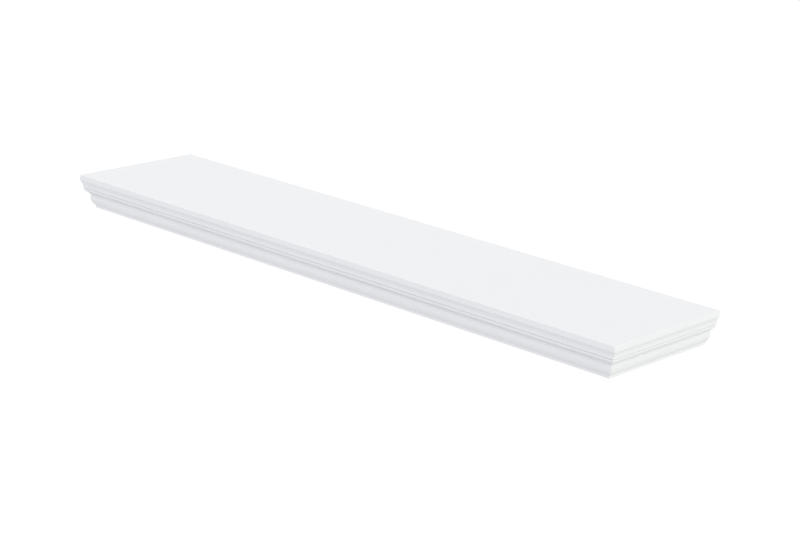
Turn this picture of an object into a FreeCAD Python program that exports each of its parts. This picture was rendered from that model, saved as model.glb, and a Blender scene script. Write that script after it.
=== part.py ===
import FreeCAD, Part
import math
import os
import re
import Sketcher

# A floating wall shelf: a hollow shelf with a crown moulding on three sides, which slides over
# the rods of a steel bar on the wall and is locked to them from below.
# Millimetres. The origin is at the middle of the bar's back, on the wall. X runs along the wall,
# Y points into the wall, so that the shelf's front is at minus its depth, and Z points up.

# Driving sizes: alias, number, meaning
SIZES = (
    ("shelf_length", "914", "whole length along the wall"),
    ("shelf_depth", "200", "from the wall to the front edge of the top"),
    ("shelf_height", "45", "from the top face to the foot of the moulding"),
    ("top_thickness", "7", "top panel, whose edge is the plain band of the front"),
    ("top_edge_radius", "0.4", "eased upper edge of the top panel"),
    ("top_corner_radius", "1", "eased front corners of the top panel"),
    ("bottom_thickness", "5", "bottom panel"),
    ("bottom_gap", "0.2", "room round the bottom panel in its rebate"),
    ("access_radius", "4", "holes of the bottom panel for the key"),
    ("moulding_depth", "26", "from the edge of the top to the back of the moulding"),
    ("lip_overhang", "0.2", "top panel over the head of the moulding"),
    ("head_height", "0.5", "upright band at the head of the moulding"),
    ("cove_depth", "2.8", "upper cove, inwards"),
    ("cove_height", "9.2", "upper cove, downwards"),
    ("cove_hollow", "1", "upper cove, below its chord"),
    ("quirk_depth", "2", "groove above the bead and groove below it, inwards"),
    ("quirk_height", "0.75", "groove above the bead and groove below it, downwards"),
    ("bead_step", "0.8", "head of the bead, behind the foot of the upper cove"),
    ("bead_depth", "2.2", "bead, inwards"),
    ("bead_height", "5.2", "bead, downwards"),
    ("bead_bulge", "0.85", "bead, above its chord"),
    ("scotia_step", "1.1", "head of the small lower cove, behind the foot of the bead"),
    ("scotia_depth", "3.5", "small lower cove, inwards"),
    ("scotia_height", "5.25", "small lower cove, downwards"),
    ("scotia_hollow", "0.95", "small lower cove, below its chord"),
    ("ovolo_depth", "4.5", "ovolo, inwards"),
    ("ovolo_bulge", "1.75", "ovolo, above its chord"),
    ("foot_step", "0.5", "step below the ovolo"),
    ("foot_height", "3.6", "upright band at the foot"),
    ("foot_width", "5.2", "foot in front of the bottom panel"),
    ("rail_thickness", "18", "front and middle rails"),
    ("rear_rail_thickness", "30", "rear rail"),
    ("batten_thickness", "18", "end battens"),
    ("middle_rail_share", "0.6", "place of the middle rail between the rear and front rails"),
    ("bar_thickness", "4", "wall bar"),
    ("bar_clearance", "3.5", "above and below the bar, to the panels"),
    ("bar_end_gap", "32", "from the ends of the bar to the battens"),
    ("bar_corner_radius", "3", "corners of the bar"),
    ("head_room", "4", "for the heads of the wall screws, between bar and rear rail"),
    ("wall_hole_radius", "3", "holes and slots of the bar for wall screws"),
    ("wall_slot_length", "16", "slots of the bar"),
    ("wall_hole_margin", "25.4", "from the ends of the bar to its round holes"),
    ("rod_radius", "6", "support rods"),
    ("rod_end_margin", "76.2", "from the ends of the bar to the outer rods"),
    ("rod_engagement", "12", "tip of the rods inside the middle rail"),
    ("rod_chamfer", "1.5", "tip of the rods"),
    ("rod_room", "0.3", "round the rods in the rails"),
    ("rod_seat_gap", "0.05", "round the rods in the bar, closed by the weld"),
    ("insert_radius", "4.5", "threaded inserts"),
    ("insert_gap", "0.05", "round the inserts in the rear rail"),
    ("insert_chamfer", "0.6", "leading ends of the inserts"),
    ("insert_set_back", "1.2", "from the rods' bores to the inserts"),
    ("lock_screw_radius", "3", "lock screws"),
    ("lock_screw_recess", "2.2", "lower ends of the lock screws, above the rear rail's underside"),
    ("lock_screw_point", "1", "chamfer of the lock screws' tips"),
    ("lock_screw_edge", "0.5", "chamfer of the lock screws' lower ends"),
    ("thread_gap", "0.05", "round the lock screws in the inserts"),
    ("tip_gap", "0.3", "from the lock screws to the rods"),
    ("socket_width", "3", "hex socket, across flats"),
    ("socket_share", "0.5", "depth of the hex socket in the length of the lock screw"),
    ("frame_screw_length", "45", "frame screws"),
    ("frame_screw_radius", "2", "shank of the frame screws"),
    ("frame_screw_point", "6", "tapered point of the frame screws"),
    ("frame_head_radius", "4", "countersunk head of the frame screws"),
    ("frame_head_height", "2.4", "countersunk head of the frame screws"),
    ("frame_screw_gap", "0.1", "round the frame screws"),
    ("cut_overrun", "1", "how far a mitre's cut runs past the wood"),
)

# Places worked out from the sizes, heights first
CAVITY_TOP = "((shelf_height - top_thickness - bottom_thickness) / 2)"
CAVITY_BOTTOM = f"(-{CAVITY_TOP})"
SHELF_TOP = f"({CAVITY_TOP} + top_thickness)"
SHELF_BASE = f"({CAVITY_BOTTOM} - bottom_thickness)"
BAR_TOP = f"({CAVITY_TOP} - bar_clearance)"
BORE_RADIUS = "(rod_radius + rod_room)"
INSERT_TOP = f"(-{BORE_RADIUS} - insert_set_back)"
SCREW_TIP = "(-rod_radius - tip_gap)"
SCREW_END = f"({CAVITY_BOTTOM} + lock_screw_recess)"

# Places along the wall
SHELF_END = "(shelf_length / 2)"
FRAME_END = f"({SHELF_END} - moulding_depth)"
BATTEN_FACE = f"({FRAME_END} - batten_thickness)"
BAR_END = f"({BATTEN_FACE} - bar_end_gap)"
OUTER_ROD = f"({BAR_END} - rod_end_margin)"
WALL_HOLE = f"({BAR_END} - wall_hole_margin)"
ROD_PLACES = (f"(-{OUTER_ROD})", f"(-{OUTER_ROD} / 3)", f"({OUTER_ROD} / 3)", OUTER_ROD)
WALL_SLOT = f"({OUTER_ROD} * 2 / 3)"
SIDES = (("left", -1), ("right", 1))

# Places from the wall to the front
SHELF_FRONT = "(-shelf_depth)"
FRONT_RAIL_FACE = f"({SHELF_FRONT} + moulding_depth)"
FRONT_RAIL_BACK = f"({FRONT_RAIL_FACE} + rail_thickness)"
REAR_RAIL_BACK = "(-bar_thickness - head_room)"
REAR_RAIL_FACE = f"({REAR_RAIL_BACK} - rear_rail_thickness)"
REAR_RAIL_MIDDLE = f"({REAR_RAIL_BACK} - rear_rail_thickness / 2)"
MIDDLE_RAIL_MIDDLE = (
    f"({REAR_RAIL_FACE} + ({FRONT_RAIL_BACK} - {REAR_RAIL_FACE}) * middle_rail_share)"
)
MIDDLE_RAIL_FACE = f"({MIDDLE_RAIL_MIDDLE} - rail_thickness / 2)"
MIDDLE_RAIL_BACK = f"({MIDDLE_RAIL_MIDDLE} + rail_thickness / 2)"
ROD_TIP = f"({MIDDLE_RAIL_BACK} - rod_engagement)"
FOOT_SET_IN = (
    "(lip_overhang + cove_depth + bead_step + bead_depth + scotia_step"
    " + scotia_depth + ovolo_depth + foot_step)"
)
REBATE_SET_IN = f"({FOOT_SET_IN} + foot_width)"

# Ways that a bore, a screw or a pad can run, as turns of the Z axis
UP = FreeCAD.Rotation(FreeCAD.Vector(0, 0, 1), 0)
TO_FRONT = FreeCAD.Rotation(FreeCAD.Vector(1, 0, 0), 90)
TO_WALL = FreeCAD.Rotation(FreeCAD.Vector(1, 0, 0), -90)
TO_RIGHT = FreeCAD.Rotation(FreeCAD.Vector(0, 1, 0), 90)
TO_LEFT = FreeCAD.Rotation(FreeCAD.Vector(0, 1, 0), -90)

# Points of an edge and axes of a sketch, in the order in which constraints number them
EDGE_POINTS = ("whole", "start", "end", "centre")
SKETCH_AXES = ("across", "up")

doc = FreeCAD.newDocument("floating_wall_shelf")
sheet = doc.addObject("Spreadsheet::Sheet", "Sizes")
for row, (alias, number, meaning) in enumerate(SIZES, start=1):
    sheet.set(f"A{row}", meaning)
    sheet.set(f"B{row}", number)
    sheet.setAlias(f"B{row}", alias)
doc.recompute()


def on_sheet(formula):
    """The formula with each size's alias written as a reference to the sheet."""
    return re.sub(r"\b([a-z]+_\w+)\b", r"Sizes.\1", formula)


def value(formula):
    """What a formula comes to with the sizes as they are."""
    return float(sheet.evalExpression(on_sheet(formula)))


def bind(item, prop, formula):
    """Tie a property to a formula of the sizes."""
    item.setExpression(prop, on_sheet(formula))


def put(item, x, y, z):
    """Tie an object's place to three formulas."""
    for axis, formula in (("x", x), ("y", y), ("z", z)):
        bind(item, f"Placement.Base.{axis}", formula)


# Sketches

def add_sketch(body, name, plane_role, lift="0"):
    """An empty sketch on one of its body's own planes, lifted along the plane's normal."""
    sketch = body.newObject("Sketcher::SketchObject", name)
    plane = next(item for item in body.Origin.OriginFeatures if item.Role == plane_role)
    sketch.AttachmentSupport = [(plane, "")]
    sketch.MapMode = "FlatFace"
    bind(sketch, "AttachmentOffset.Base.z", lift)
    return sketch


def constrain(sketch, formula, *terms):
    """Add a constraint with a size and tie the size to its formula."""
    number = sketch.addConstraint(Sketcher.Constraint(*terms, value(formula)))
    bind(sketch, f"Constraints[{number}]", formula)


def axis_number(axis):
    """The number of one of the sketch's own axes, which count down from -1."""
    return -1 - SKETCH_AXES.index(axis)


def pin(sketch, edge, point, across, up):
    """Hold a point of an edge at its two distances from the sketch's origin."""
    origin = (axis_number("across"), EDGE_POINTS.index("start"))
    spot = (edge, EDGE_POINTS.index(point))
    for kind, formula, axis in (("DistanceX", across, "up"), ("DistanceY", up, "across")):
        if formula == "0":
            sketch.addConstraint(Sketcher.Constraint("PointOnObject", *spot, axis_number(axis)))
        else:
            constrain(sketch, formula, kind, *origin, *spot)


def join(sketch, kind, edge, point, following, next_point):
    """Make a point of one edge meet a point of another, also in direction if the kind is tangent."""
    ends = (edge, EDGE_POINTS.index(point), following, EDGE_POINTS.index(next_point))
    sketch.addConstraint(Sketcher.Constraint(kind, *ends))


def add_arc(sketch, start, finish, rise):
    """An arc over a chord, which rises to the left of its way, or to the right if negative."""
    chord = finish - start
    radius = chord.Length ** 2 / (8 * abs(rise)) + abs(rise) / 2
    left = FreeCAD.Vector(-chord.y, chord.x, 0).normalize()
    centre = (start + finish) / 2 + left * (rise - math.copysign(radius, rise))
    turns = [math.atan2(end.y - centre.y, end.x - centre.x) for end in (start, finish)]
    clockwise = rise > 0
    first, last = reversed(turns) if clockwise else turns
    if last < first:
        last += math.tau
    circle = Part.Circle(centre, FreeCAD.Vector(0, 0, 1), radius)
    edge = sketch.addGeometry(Part.ArcOfCircle(circle, first, last), False)
    return edge, ("end", "start") if clockwise else ("start", "end")


def draw_outline(sketch, corners):
    """A closed outline through corners, each with its two places and the bend of the edge after it.

    A bend is nothing for a straight edge, or the formula of an arc's rise over its chord and the
    side it rises to: 1 for the left of the way along the outline and -1 for the right.
    """
    edges = []
    for number, (across, up, bend) in enumerate(corners):
        next_across, next_up, _ = corners[(number + 1) % len(corners)]
        start = FreeCAD.Vector(value(across), value(up), 0)
        finish = FreeCAD.Vector(value(next_across), value(next_up), 0)
        if bend is None:
            edge = sketch.addGeometry(Part.LineSegment(start, finish), False)
            points = ("start", "end")
        else:
            rise, side = bend
            edge, points = add_arc(sketch, start, finish, side * value(rise))
            chord_square = f"(({next_across} - {across})^2 + ({next_up} - {up})^2)"
            constrain(sketch, f"{chord_square} / (8 * {rise}) + {rise} / 2", "Radius", edge)
        pin(sketch, edge, points[0], across, up)
        edges.append((edge, points))
    for (edge, points), (following, next_points) in zip(edges, edges[1:] + edges[:1]):
        join(sketch, "Coincident", edge, points[1], following, next_points[0])


def draw_rectangle(sketch, left, right, bottom, top):
    """A rectangle between four places."""
    corners = ((left, bottom), (right, bottom), (right, top), (left, top))
    draw_outline(sketch, [(across, up, None) for across, up in corners])


def draw_circle(sketch, across, up, radius):
    """A circle at a place."""
    centre = FreeCAD.Vector(value(across), value(up), 0)
    circle = Part.Circle(centre, FreeCAD.Vector(0, 0, 1), value(radius))
    edge = sketch.addGeometry(circle, False)
    pin(sketch, edge, "centre", across, up)
    constrain(sketch, radius, "Radius", edge)


def draw_slot(sketch, middle, length, radius):
    """A slot with round ends, level with the sketch's origin."""
    ends = []
    for _, side in SIDES:
        place = f"({middle} + {side} * ({length} / 2 - {radius}))"
        centre = FreeCAD.Vector(value(place), 0, 0)
        circle = Part.Circle(centre, FreeCAD.Vector(0, 0, 1), value(radius))
        first = -side * math.pi / 2
        edge = sketch.addGeometry(Part.ArcOfCircle(circle, first, first + math.pi), False)
        pin(sketch, edge, "centre", place, "0")
        ends.append(edge)
    constrain(sketch, radius, "Radius", ends[0])
    sketch.addConstraint(Sketcher.Constraint("Equal", *ends))
    for before, after in (ends, ends[::-1]):
        start = sketch.getPoint(before, EDGE_POINTS.index("end"))
        finish = sketch.getPoint(after, EDGE_POINTS.index("start"))
        edge = sketch.addGeometry(Part.LineSegment(start, finish), False)
        join(sketch, "Tangent", before, "end", edge, "start")
        join(sketch, "Tangent", edge, "end", after, "start")


# Features

def pad(body, sketch, length, both_ways=False):
    """Raise a sketch into a solid, along its normal or half each way."""
    feature = body.newObject("PartDesign::Pad", f"{sketch.Name}_pad")
    feature.Profile = sketch
    feature.SideType = "Symmetric" if both_ways else "One side"
    bind(feature, "Length", length)
    doc.recompute()
    return feature


def pocket(body, sketch, depth=None, along_normal=False):
    """Cut a sketch into its body, through all of it both ways or to a depth."""
    volume = body.Shape.Volume
    feature = body.newObject("PartDesign::Pocket", f"{sketch.Name}_pocket")
    feature.Profile = sketch
    if depth is None:
        feature.Type = "ThroughAll"
        feature.SideType = "Symmetric"
    else:
        feature.Reversed = along_normal
        bind(feature, "Length", depth)
    doc.recompute()
    if not body.Shape.Volume < volume:
        raise RuntimeError(f"{feature.Name} cuts nothing")
    return feature


def revolve(body, sketch):
    """Turn a sketch round its own vertical axis."""
    feature = body.newObject("PartDesign::Revolution", f"{sketch.Name}_turned")
    feature.Profile = sketch
    feature.ReferenceAxis = (sketch, ["V_Axis"])
    doc.recompute()
    return feature


def ease(body, base, radius, is_eased):
    """Round the edges of a feature that a test picks."""
    chosen = [
        f"Edge{number}"
        for number, edge in enumerate(base.Shape.Edges, start=1)
        if is_eased(edge)
    ]
    feature = body.newObject("PartDesign::Fillet", f"{base.Name}_eased")
    feature.Base = (base, chosen)
    bind(feature, "Radius", radius)
    doc.recompute()
    return feature


def runs_along(edge, direction):
    """Whether an edge is straight and runs along an axis."""
    run = edge.Vertexes[-1].Point - edge.Vertexes[0].Point
    return math.isclose(abs(run.dot(direction)), edge.Length)


def add_box(name, left, right, front, back, bottom, top):
    """A board between two places on each axis."""
    board = doc.addObject("Part::Box", name)
    for prop, low, high in (("Length", left, right), ("Width", front, back), ("Height", bottom, top)):
        bind(board, prop, f"{high} - {low}")
    put(board, left, front, bottom)
    return board


def add_bore(name, place, way, radius, length):
    """A round cutter that starts at a place and runs one way."""
    bore = doc.addObject("Part::Cylinder", name)
    bore.Placement.Rotation = way
    put(bore, *place)
    bind(bore, "Radius", radius)
    bind(bore, "Height", length)
    return bore


def add_turning(name, place, way, sections):
    """Round sections in a row from a place, each with its radii and distances at its two ends."""
    pieces = []
    for section, near_radius, far_radius, near, far in sections:
        straight = near_radius == far_radius
        piece = doc.addObject("Part::Cylinder" if straight else "Part::Cone", f"{name}_{section}")
        bind(piece, "Radius" if straight else "Radius1", near_radius)
        if not straight:
            bind(piece, "Radius2", far_radius)
        bind(piece, "Height", f"{far} - {near}")
        bind(piece, "Placement.Base.z", near)
        pieces.append(piece)
    turning = doc.addObject("Part::MultiFuse", name)
    turning.Shapes = pieces
    turning.Placement.Rotation = way
    put(turning, *place)
    return turning


def add_screw(name, place, way):
    """A countersunk screw from the face of its head to its point."""
    shank_end = "(frame_screw_length - frame_screw_point)"
    sections = (
        ("head", "frame_head_radius", "frame_screw_radius", "0", "frame_head_height"),
        ("shank", "frame_screw_radius", "frame_screw_radius", "frame_head_height", shank_end),
        ("point", "frame_screw_radius", "0", shank_end, "frame_screw_length"),
    )
    return add_turning(name, place, way, sections)


def add_screw_hole(name, place, way):
    """The countersunk hole of such a screw, drilled as deep as its point."""
    head = "(frame_head_radius + frame_screw_gap)"
    shank = "(frame_screw_radius + frame_screw_gap)"
    sections = (
        ("countersink", head, shank, "0", "frame_head_height"),
        ("bore", shank, shank, "frame_head_height", "frame_screw_length"),
    )
    return add_turning(name, place, way, sections)


def cut(name, blank, cutters):
    """A board with everything that the cutters fill taken out."""
    cuts = doc.addObject("Part::MultiFuse", f"{name}_cuts")
    cuts.Shapes = cutters
    piece = doc.addObject("Part::Cut", name)
    piece.Base = blank
    piece.Tool = cuts
    return piece


# The moulding: its profile, and the three lengths that meet in mitres

def groove(step):
    """Members of a square groove: inwards, down, and out again to a step behind where it began."""
    return (
        ("quirk_depth", "0", None),
        ("0", "quirk_height", None),
        (f"({step} - quirk_depth)", "0", None),
    )


def moulding_profile():
    """Corners of the moulding as set-in from the shelf's edge, drop below its top, and bend.

    A bend is an arc's rise and whether it stands out, 1, or is hollow, -1.
    """
    ovolo_height = (
        "(shelf_height - top_thickness - head_height - cove_height - bead_height"
        " - 2 * quirk_height - scotia_height - foot_height)"
    )
    members = (
        ("0", "head_height", None),
        ("cove_depth", "cove_height", ("cove_hollow", -1)),
        *groove("bead_step"),
        ("bead_depth", "bead_height", ("bead_bulge", 1)),
        *groove("scotia_step"),
        ("scotia_depth", "scotia_height", ("scotia_hollow", -1)),
        ("ovolo_depth", ovolo_height, ("ovolo_bulge", 1)),
        ("foot_step", "0", None),
        ("0", "foot_height", None),
        ("foot_width", "0", None),
        ("0", "(-bottom_thickness)", None),
    )
    set_in = "lip_overhang"
    drop = "top_thickness"
    corners = []
    for inwards, downwards, bend in members:
        corners.append((f"({set_in})", f"({drop})", bend))
        set_in = f"{set_in} + {inwards}"
        drop = f"{drop} + {downwards}"
    corners.append((f"({set_in})", f"({drop})", None))
    corners.append(("moulding_depth", f"({drop})", None))
    corners.append(("moulding_depth", "top_thickness", None))
    return corners


def draw_moulding(sketch, edge, outwards):
    """The profile with its outer edge at a place of the sketch, facing outwards: -1 or 1."""
    corners = []
    for set_in, drop, bend in moulding_profile():
        across = f"({edge} - {outwards} * {set_in})"
        bend = None if bend is None else (bend[0], bend[1] * outwards)
        corners.append((across, f"({SHELF_TOP} - {drop})", bend))
    draw_outline(sketch, corners)


def draw_mitre(sketch, side, waste_is_inside):
    """The wedge that a mitre takes off at one front corner, on the inner or the outer hand."""
    outer = f"{side} * ({SHELF_END} + cut_overrun)"
    inner = f"{side} * ({FRAME_END} - cut_overrun)"
    front = f"({SHELF_FRONT} - cut_overrun)"
    back = f"({FRONT_RAIL_FACE} + cut_overrun)"
    waste = (inner, front) if waste_is_inside else (outer, back)
    corners = ((outer, front), waste, (inner, back))
    draw_outline(sketch, [(across, up, None) for across, up in corners])


def make_front_moulding():
    """The length along the front, mitred at both ends."""
    body = doc.addObject("PartDesign::Body", "front_moulding")
    profile = add_sketch(body, "front_moulding_profile", "YZ_Plane")
    draw_moulding(profile, SHELF_FRONT, -1)
    pad(body, profile, "shelf_length", both_ways=True)
    mitres = add_sketch(body, "front_moulding_mitres", "XY_Plane")
    for _, side in SIDES:
        draw_mitre(mitres, side, waste_is_inside=False)
    pocket(body, mitres)
    return body


def make_end_moulding(hand, side):
    """The length along one end, mitred in front and square at the wall."""
    body = doc.addObject("PartDesign::Body", f"{hand}_moulding")
    profile = add_sketch(body, f"{hand}_moulding_profile", "XZ_Plane")
    draw_moulding(profile, f"{side} * {SHELF_END}", side)
    pad(body, profile, "shelf_depth")
    mitre = add_sketch(body, f"{hand}_moulding_mitre", "XY_Plane")
    draw_mitre(mitre, side, waste_is_inside=True)
    pocket(body, mitre)
    return body


# The panels

def make_top_panel():
    """The top board, with its front corners and upper edges eased but for the edge at the wall."""
    body = doc.addObject("PartDesign::Body", "top_panel")
    outline = add_sketch(body, "top_panel_outline", "XY_Plane", CAVITY_TOP)
    draw_rectangle(outline, f"(-{SHELF_END})", SHELF_END, SHELF_FRONT, "0")
    board = pad(body, outline, "top_thickness")
    top = value(SHELF_TOP)
    front = value(SHELF_FRONT)

    def is_front_corner(edge):
        upright = runs_along(edge, FreeCAD.Vector(0, 0, 1))
        return upright and math.isclose(edge.CenterOfMass.y, front)

    def is_upper_edge(edge):
        box = edge.BoundBox
        at_wall = box.YMin >= -edge.Vertexes[0].Tolerance
        return math.isclose(box.ZMin, top, rel_tol=1e-6) and not at_wall

    cornered = ease(body, board, "top_corner_radius", is_front_corner)
    ease(body, cornered, "top_edge_radius", is_upper_edge)
    return body


def make_bottom_panel():
    """The bottom board in its rebate, with a hole for the key under each lock screw."""
    body = doc.addObject("PartDesign::Body", "bottom_panel")
    outline = add_sketch(body, "bottom_panel_outline", "XY_Plane", SHELF_BASE)
    end = f"({SHELF_END} - {REBATE_SET_IN} - bottom_gap)"
    front = f"({SHELF_FRONT} + {REBATE_SET_IN} + bottom_gap)"
    draw_rectangle(outline, f"(-{end})", end, front, "0")
    for _, side in SIDES:
        draw_circle(outline, f"({side} * {OUTER_ROD})", REAR_RAIL_MIDDLE, "access_radius")
    pad(body, outline, "bottom_thickness")
    return body


# The frame and its screws

def frame_screw_places():
    """Where the frame's screws go: the head's place and the screw's way, by the joint it holds."""
    places = {}
    for hand, side in SIDES:
        inwards = TO_LEFT if side > 0 else TO_RIGHT
        face = f"({side} * {FRAME_END})"
        batten_middle = f"({side} * ({FRAME_END} - batten_thickness / 2))"
        places["front", hand] = ((batten_middle, FRONT_RAIL_FACE, "0"), TO_WALL)
        places["rear", hand] = ((face, REAR_RAIL_MIDDLE, "0"), inwards)
    return places


def add_screw_holes(name, joints):
    """Cutters for the holes of the screws that pass through or into one board."""
    places = frame_screw_places()
    return [
        add_screw_hole(f"{name}_hole_{rail}_{hand}", *places[rail, hand])
        for rail, hand in joints
    ]


def make_frame_screws():
    """The frame's four countersunk screws as one group."""
    screws = [
        add_screw(f"frame_screw_{rail}_{hand}", *place)
        for (rail, hand), place in frame_screw_places().items()
    ]
    group = doc.addObject("Part::Compound", "frame_screws")
    group.Links = screws
    return group


def make_end_batten(hand, side):
    """The batten behind one end's moulding, from the front rail to the wall."""
    faces = (f"({side} * {FRAME_END})", f"({side} * {BATTEN_FACE})")
    left, right = sorted(faces, key=value)
    name = f"{hand}_end_batten"
    blank = add_box(f"{name}_blank", left, right, FRONT_RAIL_BACK, "0", CAVITY_BOTTOM, CAVITY_TOP)
    return cut(name, blank, add_screw_holes(name, [("front", hand), ("rear", hand)]))


def make_front_rail():
    """The rail behind the front moulding, across the ends of both battens."""
    blank = add_box(
        "front_rail_blank", f"(-{FRAME_END})", FRAME_END, FRONT_RAIL_FACE, FRONT_RAIL_BACK,
        CAVITY_BOTTOM, CAVITY_TOP,
    )
    return cut("front_rail", blank, add_screw_holes("front_rail", [("front", hand) for hand, _ in SIDES]))


def add_bored_rail(name, face, back, more_cutters=()):
    """A rail between the battens, bored for the rods."""
    blank = add_box(
        f"{name}_blank", f"(-{BATTEN_FACE})", BATTEN_FACE, face, back, CAVITY_BOTTOM, CAVITY_TOP
    )
    bores = [
        add_bore(f"{name}_bore_{number}", (place, back, "0"), TO_FRONT, BORE_RADIUS, f"{back} - {face}")
        for number, place in enumerate(ROD_PLACES, start=1)
    ]
    return cut(name, blank, bores + list(more_cutters))


def make_middle_rail():
    """The rail that holds the tips of the rods."""
    return add_bored_rail("middle_rail", MIDDLE_RAIL_FACE, MIDDLE_RAIL_BACK)


def make_rear_rail():
    """The rail at the wall, with a hole from below into each outer rod's bore for the insert."""
    cutters = add_screw_holes("rear_rail", [("rear", hand) for hand, _ in SIDES])
    for hand, side in SIDES:
        foot = (f"({side} * {OUTER_ROD})", REAR_RAIL_MIDDLE, CAVITY_BOTTOM)
        cutters.append(
            add_bore(f"insert_seat_{hand}", foot, UP, "insert_radius + insert_gap", f"-{CAVITY_BOTTOM}")
        )
    return add_bored_rail("rear_rail", REAR_RAIL_FACE, REAR_RAIL_BACK, cutters)


# The bracket on the wall

def make_bracket_bar():
    """The flat bar, with holes for the rods, slots between them and a round hole near each end."""
    body = doc.addObject("PartDesign::Body", "bracket_bar")
    outline = add_sketch(body, "bracket_bar_outline", "XZ_Plane")
    draw_rectangle(outline, f"(-{BAR_END})", BAR_END, f"(-{BAR_TOP})", BAR_TOP)
    for place in ROD_PLACES:
        draw_circle(outline, place, "0", "rod_radius + rod_seat_gap")
    for _, side in SIDES:
        draw_circle(outline, f"({side} * {WALL_HOLE})", "0", "wall_hole_radius")
        draw_slot(outline, f"({side} * {WALL_SLOT})", "wall_slot_length", "wall_hole_radius")
    flat = pad(body, outline, "bar_thickness")
    height = value(BAR_TOP)

    def is_corner(edge):
        across = runs_along(edge, FreeCAD.Vector(0, 1, 0))
        return across and math.isclose(abs(edge.CenterOfMass.z), height)

    ease(body, flat, "bar_corner_radius", is_corner)
    return body


def make_support_rod(number, place):
    """A rod from the back of the bar, through it, to its chamfered tip."""
    body = doc.addObject("PartDesign::Body", f"support_rod_{number}")
    outline = add_sketch(body, f"support_rod_{number}_outline", "XY_Plane")
    corners = [
        ("0", "0", None),
        ("0", ROD_TIP, None),
        ("(rod_radius - rod_chamfer)", ROD_TIP, None),
        ("rod_radius", f"({ROD_TIP} + rod_chamfer)", None),
        ("rod_radius", "0", None),
    ]
    draw_outline(outline, corners)
    revolve(body, outline)
    bind(body, "Placement.Base.x", place)
    return body


# The lock at each outer rod

def make_threaded_insert(hand, side):
    """A sleeve in the underside of the rear rail."""
    body = doc.addObject("PartDesign::Body", f"threaded_insert_{hand}")
    outline = add_sketch(body, f"threaded_insert_{hand}_outline", "XZ_Plane")
    inner = "(lock_screw_radius + thread_gap)"
    corners = [
        (inner, CAVITY_BOTTOM, None),
        ("insert_radius", CAVITY_BOTTOM, None),
        ("insert_radius", f"({INSERT_TOP} - insert_chamfer)", None),
        ("(insert_radius - insert_chamfer)", INSERT_TOP, None),
        (inner, INSERT_TOP, None),
    ]
    draw_outline(outline, corners)
    revolve(body, outline)
    put(body, f"{side} * {OUTER_ROD}", REAR_RAIL_MIDDLE, "0")
    return body


def make_lock_screw(hand, side):
    """A set screw with a blunt point below the rod and a hex socket in its lower end."""
    body = doc.addObject("PartDesign::Body", f"lock_screw_{hand}")
    outline = add_sketch(body, f"lock_screw_{hand}_outline", "XZ_Plane")
    corners = [
        ("0", SCREW_END, None),
        ("(lock_screw_radius - lock_screw_edge)", SCREW_END, None),
        ("lock_screw_radius", f"({SCREW_END} + lock_screw_edge)", None),
        ("lock_screw_radius", f"({SCREW_TIP} - lock_screw_point)", None),
        ("(lock_screw_radius - lock_screw_point)", SCREW_TIP, None),
        ("0", SCREW_TIP, None),
    ]
    draw_outline(outline, corners)
    revolve(body, outline)
    socket = add_sketch(body, f"lock_screw_{hand}_socket", "XY_Plane", SCREW_END)
    flat = "(socket_width / 2)"
    point = "(socket_width / sqrt(3))"
    hexagon = (
        (flat, f"(-{point} / 2)"),
        (flat, f"({point} / 2)"),
        ("0", point),
        (f"(-{flat})", f"({point} / 2)"),
        (f"(-{flat})", f"(-{point} / 2)"),
        ("0", f"(-{point})"),
    )
    draw_outline(socket, [(across, up, None) for across, up in hexagon])
    pocket(body, socket, f"({SCREW_TIP} - {SCREW_END}) * socket_share", along_normal=True)
    put(body, f"{side} * {OUTER_ROD}", REAR_RAIL_MIDDLE, "0")
    return body


pieces = [
    make_top_panel(),
    make_bottom_panel(),
    make_front_moulding(),
    make_front_rail(),
    make_middle_rail(),
    make_rear_rail(),
    make_frame_screws(),
    make_bracket_bar(),
]
for number, place in enumerate(ROD_PLACES, start=1):
    pieces.append(make_support_rod(number, place))
for hand, side in SIDES:
    pieces.append(make_end_moulding(hand, side))
    pieces.append(make_end_batten(hand, side))
    pieces.append(make_threaded_insert(hand, side))
    pieces.append(make_lock_screw(hand, side))
doc.recompute()

for item in doc.Objects:
    if {"Invalid", "Error"} & set(item.State):
        raise RuntimeError(f"{item.Name} failed: {item.State}")
for piece in pieces:
    if piece.Shape.isNull() or not piece.Shape.isValid():
        raise RuntimeError(f"{piece.Label} has no valid shape")

os.makedirs("parts", exist_ok=True)
for piece in pieces:
    piece.Shape.exportStep(f"parts/{piece.Label}.step")
    box = piece.Shape.BoundBox
    print(f"{piece.Label}: {len(piece.Shape.Solids)} solids, {piece.Shape.Volume:.0f} mm3, {box}")
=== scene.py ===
import math

import bmesh
import bpy
from mathutils import Matrix, Vector


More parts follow.
